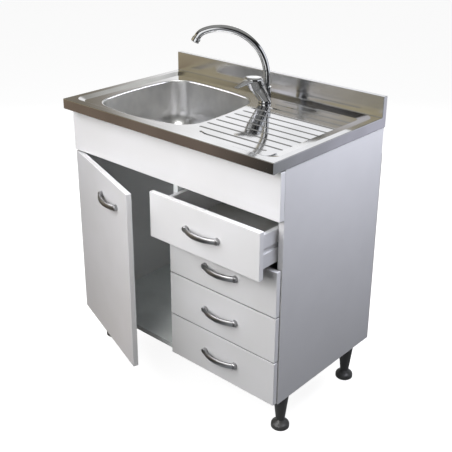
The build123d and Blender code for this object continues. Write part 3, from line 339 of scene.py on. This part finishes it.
@dataclass
class MixerTap(SubAssembly):
    """The mixer tap: body, spout and lever."""

    finishes: dict[str, Finish] = field(
        default_factory=lambda: {
            **dict.fromkeys(CHROMED_NODES, CHROME),
            "tap_cartridge": WHITE_PP,
            "tap_gasket": BLACK_RUBBER,
            "tap_fixing": ZINC_STEEL,
            "tap_lever_index": GREY_ACETAL,
        }
    )


@dataclass
class Cabinet(SubAssembly):
    """The carcass boards with their fittings."""

    finishes: dict[str, Finish] = field(
        default_factory=lambda: {
            "side_panel_left": WHITE_MELAMINE,
            "side_panel_right": WHITE_MELAMINE,
            "floor_board": GREY_MELAMINE,
            "divider": GREY_MELAMINE,
            "rear_rail": GREY_MELAMINE,
            "back_board": HARDBOARD,
            "fascia": GLOSS_FOIL,
            "fascia_brackets": ZINC_STEEL,
            "floor_cams": ZINC_STEEL,
            "drawer_runners": GREY_PVC,
        }
    )


@dataclass
class Door(SubAssembly):
    """The door with its handle and hinges."""

    finishes: dict[str, Finish] = field(
        default_factory=lambda: {
            "door_panel": GLOSS_FOIL,
            "door_handle": SATIN_NICKEL,
            "hinge_cups": ZINC_STEEL,
            "hinge_pins": ZINC_STEEL,
            "hinge_arms": ZINC_STEEL,
            "hinge_plates": ZINC_STEEL,
        }
    )


@dataclass
class Drawer(SubAssembly):
    """One drawer: its front, box and handle."""

    number: int = 1

    def __post_init__(self) -> None:
        """Name the nodes of this drawer."""
        stem = f"drawer_{self.number}_"
        self.finishes = {
            stem + "front": GLOSS_FOIL,
            stem + "sides": WHITE_MELAMINE,
            stem + "back": WHITE_MELAMINE,
            stem + "base": HARDBOARD,
            stem + "handle": SATIN_NICKEL,
        }


@dataclass
class Legs(SubAssembly):
    """The four legs and their screwed feet."""

    finishes: dict[str, Finish] = field(
        default_factory=lambda: {
            "legs": BLACK_ABS,
            **{f"foot_{end}_{side}": BLACK_ABS for end in ("front", "rear") for side in ("left", "right")},
        }
    )


# The bowl, which has lamps of its own, and the point in it that they aim at, in metres.
BOWL_NODES = ("bowl",)
BOWL_MIDDLE = (-0.14, -0.02, 0.75)
# The bright nodes, which mirror the room but not its lamps.
MIRROR_NODES = ("steel_top", *CHROMED_NODES)


@dataclass
class Lamp:
    """A soft rectangular lamp aimed at a point, in metres and watts.

    It lights every piece but the linked nodes, or those alone where it is for them only.
    """

    name: str
    place: tuple[float, float, float]
    target: tuple[float, float, float]
    size: tuple[float, float]
    watts: float
    tint: str
    linked: tuple[str, ...] = (*BOWL_NODES, *MIRROR_NODES)
    for_linked_only: bool = False

    def build(self) -> None:
        """Hang the lamp."""
        lamp = bpy.data.lights.new(self.name, "AREA")
        lamp.shape = "RECTANGLE"
        lamp.size, lamp.size_y = self.size
        lamp.energy = self.watts
        lamp.color = linear(self.tint)[:3]
        holder = bpy.data.objects.new(self.name, lamp)
        aim = (Vector(self.target) - Vector(self.place)).to_track_quat("-Z", "Y")
        holder.matrix_world = Matrix.Translation(self.place) @ aim.to_matrix().to_4x4()
        holder.visible_camera = False
        bpy.context.collection.objects.link(holder)
        receivers = bpy.data.collections.new(self.name + "_linked")
        holder.light_linking.receiver_collection = receivers
        for name in self.linked:
            receivers.objects.link(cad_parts[name])
        for member in receivers.collection_objects:
            member.light_linking.link_state = "INCLUDE" if self.for_linked_only else "EXCLUDE"


@dataclass
class BowlLamp(Lamp):
    """A lamp that lights the bowl alone."""

    linked: tuple[str, ...] = BOWL_NODES
    for_linked_only: bool = True


@dataclass
class Studio:
    """The pale floor, the soft room around the unit and its lamps.

    The camera sees a white room and a pale floor, which is floor_paint lifted by floor_glow. Bright metal
    mirrors three rings of tones instead, which give places round the unit and their colours. The floor's ring
    turns into the wall's between the two distances of wall_foot, in metres as floor_half is. wall_top and
    zenith are heights on a sphere of radius 1: there the wall's ring turns into the ceiling's, and that into
    zenith_tone. The air's tone and strength are the light that dull surfaces get from all sides, and
    floor_bounce is what the floor adds to it.
    """

    floor_half: float = 12.0
    floor_paint: str = "#8c8c8c"
    floor_glow: str = "#f4f4f4"
    floor_bounce: str = "#262626"
    floor_tones: tuple[tuple[float, str], ...] = (
        (0.0, "#3a3733"), (0.1, "#75675a"), (0.15, "#6e6259"), (0.18, "#33322f"), (0.25, "#2b2a28"),
        (0.33, "#a4a6aa"), (0.42, "#8f9296"), (0.5, "#8f9296"), (0.605, "#7c7f80"), (0.655, "#bdbdca"),
        (0.75, "#8a8a8c"), (0.82, "#262523"), (1.0, "#3a3733"),
    )
    wall_tones: tuple[tuple[float, str], ...] = (
        (0.0, "#8f887a"), (0.1, "#b5aa8b"), (0.142, "#a89f86"), (0.147, "#dcdce2"), (0.151, "#dcdce2"),
        (0.158, "#a59c82"), (0.172, "#bdb497"), (0.19, "#2a2926"), (0.25, "#222222"),
        (0.27, "#ffffff"), (0.35, "#ffffff"), (0.37, "#1c1c1d"), (0.52, "#1c1c1d"), (0.56, "#dfe2e8"),
        (0.66, "#dfe2e8"), (0.7, "#3a3a3c"), (0.76, "#e9eaec"), (0.83, "#f4f5f8"), (0.874, "#ffffff"),
        (0.892, "#7d776c"), (1.0, "#8f887a"),
    )
    ceiling_tones: tuple[tuple[float, str], ...] = (
        (0.0, "#2c2b29"), (0.862, "#2c2b29"), (0.867, "#c4c4c0"), (0.876, "#c4c4c0"), (0.886, "#77746c"),
        (0.91, "#2c2b29"), (1.0, "#2c2b29"),
    )
    wall_foot: tuple[float, float] = (3.3, 4.3)
    wall_top: tuple[float, float] = (0.41, 0.45)
    zenith: tuple[float, float] = (0.5, 0.72)
    zenith_tone: str = "#8b8b89"
    mirrored_strength: float = 1.15
    air_tone: str = "#cccccc"
    air_strength: float = 0.24
    lamps: tuple[Lamp, ...] = (
        Lamp("key_softbox", (-1.0, -1.4, 2.0), (0.0, -0.2, 0.6), (1.4, 1.0), 25.0, "#fcfbff"),
        Lamp("front_softbox", (0.3, -1.6, 1.3), (0.1, -0.2, 0.6), (1.0, 0.7), 15.5, "#fffefc"),
        Lamp("side_softbox", (0.98, 0.3, 1.6), (0.4, 0.05, 0.75), (0.6, 0.4), 16.5, "#f0f2ff"),
        Lamp("top_softbox", (0.1, 0.3, 3.2), (0.0, 0.0, 0.8), (1.2, 0.9), 22.0, "#ffffff"),
        Lamp("rear_softbox", (-1.5, 1.5, 1.6), (0.0, 0.0, 0.5), (1.2, 0.9), 55.0, "#fffefc"),
        BowlLamp("bowl_left_softbox", (0.5, 1.0, 1.6), BOWL_MIDDLE, (0.9, 0.5), 9.0, "#f4f4ff"),
        BowlLamp("bowl_right_softbox", (-1.05, -0.6, 1.6), BOWL_MIDDLE, (0.9, 0.5), 9.0, "#f4f4ff"),
        BowlLamp("bowl_low_softbox", (-0.2, 0.1, 2.0), BOWL_MIDDLE, (0.5, 0.5), 7.0, "#ffffff"),
    )

    def ring_of_tones(
        self, tree: bpy.types.NodeTree, way: bpy.types.NodeSocket, tones: tuple[tuple[float, str], ...]
    ) -> bpy.types.NodeSocket:
        """Return a colour that changes with the direction round the unit.

        Args:
            tree: the node tree that gets the nodes.
            way: a place or direction, seen from the unit.
            tones: places in the round and their colours; 0 and 1 are the left, 0.25 the front, 0.5 the right
                and 0.75 the back.

        Returns:
            The colour's output socket.
        """
        axes = add_node(tree, "ShaderNodeSeparateXYZ", {0: way}).outputs
        turn = add_node(tree, "ShaderNodeMath", {0: axes["Y"], 1: axes["X"]}, operation="ARCTAN2").outputs[0]
        share = add_node(tree, "ShaderNodeMapRange", {"Value": turn, "From Min": -pi, "From Max": pi})
        ramp = add_node(tree, "ShaderNodeValToRGB", {0: share.outputs[0]})
        elements = ramp.color_ramp.elements
        elements[0].color, elements[1].color = linear(tones[0][1]), linear(tones[-1][1])
        for place, code in tones[1:-1]:
            elements.new(place).color = linear(code)
        return ramp.outputs[0]

    def floor_material(self) -> bpy.types.Material:
        """Return the floor's material: pale to the eye, and a dim room's floor in reflections.

        Returns:
            The floor's material.
        """
        material = bpy.data.materials.new("studio_floor")
        material.use_nodes = True
        tree = material.node_tree
        tree.nodes.clear()
        place = add_node(tree, "ShaderNodeTexCoord").outputs["Object"]
        near = self.ring_of_tones(tree, place, self.floor_tones)
        walls = self.ring_of_tones(tree, place, self.wall_tones)
        reach = add_node(tree, "ShaderNodeVectorMath", {0: place}, operation="LENGTH").outputs["Value"]
        foot = {"Value": reach, "From Min": self.wall_foot[0], "From Max": self.wall_foot[1]}
        rise = add_node(tree, "ShaderNodeMapRange", foot).outputs[0]
        rings = {0: rise, MIX_FIRST: near, MIX_SECOND: walls}
        around = add_node(tree, "ShaderNodeMix", rings, data_type="RGBA").outputs[MIX_RESULT]
        glow = add_node(tree, "ShaderNodeEmission", {"Color": around, "Strength": self.mirrored_strength})
        bounce = add_node(tree, "ShaderNodeEmission", {"Color": linear(self.floor_bounce)})
        pale = add_node(tree, "ShaderNodeBsdfDiffuse", {"Color": linear(self.floor_paint)})
        lift = add_node(tree, "ShaderNodeEmission", {"Color": linear(self.floor_glow)})
        lit = add_node(tree, "ShaderNodeAddShader", {0: pale.outputs[0], 1: lift.outputs[0]})
        rays = add_node(tree, "ShaderNodeLightPath").outputs
        by_ray = {0: rays["Is Diffuse Ray"], 1: glow.outputs[0], 2: bounce.outputs[0]}
        unseen = add_node(tree, "ShaderNodeMixShader", by_ray)
        by_ray = {0: rays["Is Camera Ray"], 1: unseen.outputs[0], 2: lit.outputs[0]}
        surface = add_node(tree, "ShaderNodeMixShader", by_ray)
        add_node(tree, "ShaderNodeOutputMaterial", {"Surface": surface.outputs[0]})
        return material

    def lay_floor(self) -> None:
        """Lay the floor under the feet."""
        mesh = bpy.data.meshes.new("floor")
        shape = bmesh.new()
        bmesh.ops.create_grid(shape, x_segments=1, y_segments=1, size=self.floor_half)
        shape.to_mesh(mesh)
        shape.free()
        floor = bpy.data.objects.new("floor", mesh)
        bpy.context.collection.objects.link(floor)
        mesh.materials.append(self.floor_material())

    def build_room(self) -> None:
        """Surround the unit with a room that is white to the camera and a ring of tones to the steel."""
        world = bpy.data.worlds.new("studio_room")
        bpy.context.scene.world = world
        world.use_nodes = True
        tree = world.node_tree
        tree.nodes.clear()
        way = add_node(tree, "ShaderNodeTexCoord").outputs["Generated"]
        height = add_node(tree, "ShaderNodeSeparateXYZ", {0: way}).outputs["Z"]
        walls = self.ring_of_tones(tree, way, self.wall_tones)
        ceiling = self.ring_of_tones(tree, way, self.ceiling_tones)
        top = {"Value": height, "From Min": self.wall_top[0], "From Max": self.wall_top[1]}
        above_walls = add_node(tree, "ShaderNodeMapRange", top).outputs[0]
        tones = {0: above_walls, MIX_FIRST: walls, MIX_SECOND: ceiling}
        dome = add_node(tree, "ShaderNodeMix", tones, data_type="RGBA").outputs[MIX_RESULT]
        top = {"Value": height, "From Min": self.zenith[0], "From Max": self.zenith[1]}
        overhead = add_node(tree, "ShaderNodeMapRange", top).outputs[0]
        tones = {0: overhead, MIX_FIRST: dome, MIX_SECOND: linear(self.zenith_tone)}
        sky = add_node(tree, "ShaderNodeMix", tones, data_type="RGBA").outputs[MIX_RESULT]
        mirrored = add_node(tree, "ShaderNodeBackground", {"Color": sky, "Strength": self.mirrored_strength})
        air = {"Color": linear(self.air_tone), "Strength": self.air_strength}
        ambient = add_node(tree, "ShaderNodeBackground", air)
        white = add_node(tree, "ShaderNodeBackground", {"Color": WHITE})
        rays = add_node(tree, "ShaderNodeLightPath").outputs
        by_ray = {0: rays["Is Diffuse Ray"], 1: mirrored.outputs[0], 2: ambient.outputs[0]}
        unseen = add_node(tree, "ShaderNodeMixShader", by_ray)
        by_ray = {0: rays["Is Camera Ray"], 1: unseen.outputs[0], 2: white.outputs[0]}
        surface = add_node(tree, "ShaderNodeMixShader", by_ray)
        add_node(tree, "ShaderNodeOutputWorld", {"Surface": surface.outputs[0]})

    def build(self) -> None:
        """Set up the floor, the room and the lamps, and show colours as they are."""
        self.lay_floor()
        self.build_room()
        for lamp in self.lamps:
            lamp.build()
        bpy.context.scene.view_settings.view_transform = "Standard"


@dataclass
class Viewpoint:
    """The photograph's camera: its place in metres, its angles in radians and its optics."""

    place: tuple[float, float, float] = (1.5033, -1.6563, 1.5276)
    azimuth: float = 0.7216
    elevation: float = 0.3837
    roll: float = 0.008
    lens: float = 64.47
    shift: tuple[float, float] = (-0.01106, -0.10177)

    def build(self) -> None:
        """Set the camera up."""
        level = cos(self.elevation)
        back = Vector((sin(self.azimuth) * level, -cos(self.azimuth) * level, sin(self.elevation)))
        across = Vector((cos(self.azimuth), sin(self.azimuth), 0.0))
        above = back.cross(across)
        right = across * cos(self.roll) + above * sin(self.roll)
        up = above * cos(self.roll) - across * sin(self.roll)
        camera = bpy.data.cameras.new("camera")
        camera.lens = self.lens
        camera.shift_x, camera.shift_y = self.shift
        holder = bpy.data.objects.new("camera", camera)
        turn = Matrix((right, up, back)).transposed().to_4x4()
        holder.matrix_world = Matrix.Translation(self.place) @ turn
        bpy.context.collection.objects.link(holder)
        bpy.context.scene.camera = holder


def main() -> None:
    """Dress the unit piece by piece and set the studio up."""
    logging.basicConfig(level=logging.INFO, format="%(message)s")
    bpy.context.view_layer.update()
    drawers = [Drawer(number=n + 1) for n in range(DRAWER_COUNT)]
    for group in (SinkTop(), MixerTap(), Cabinet(), Door(), *drawers, Legs()):
        group.dress()
    Viewpoint().build()
    Studio().build()


if __name__ == "__main__":
    main()
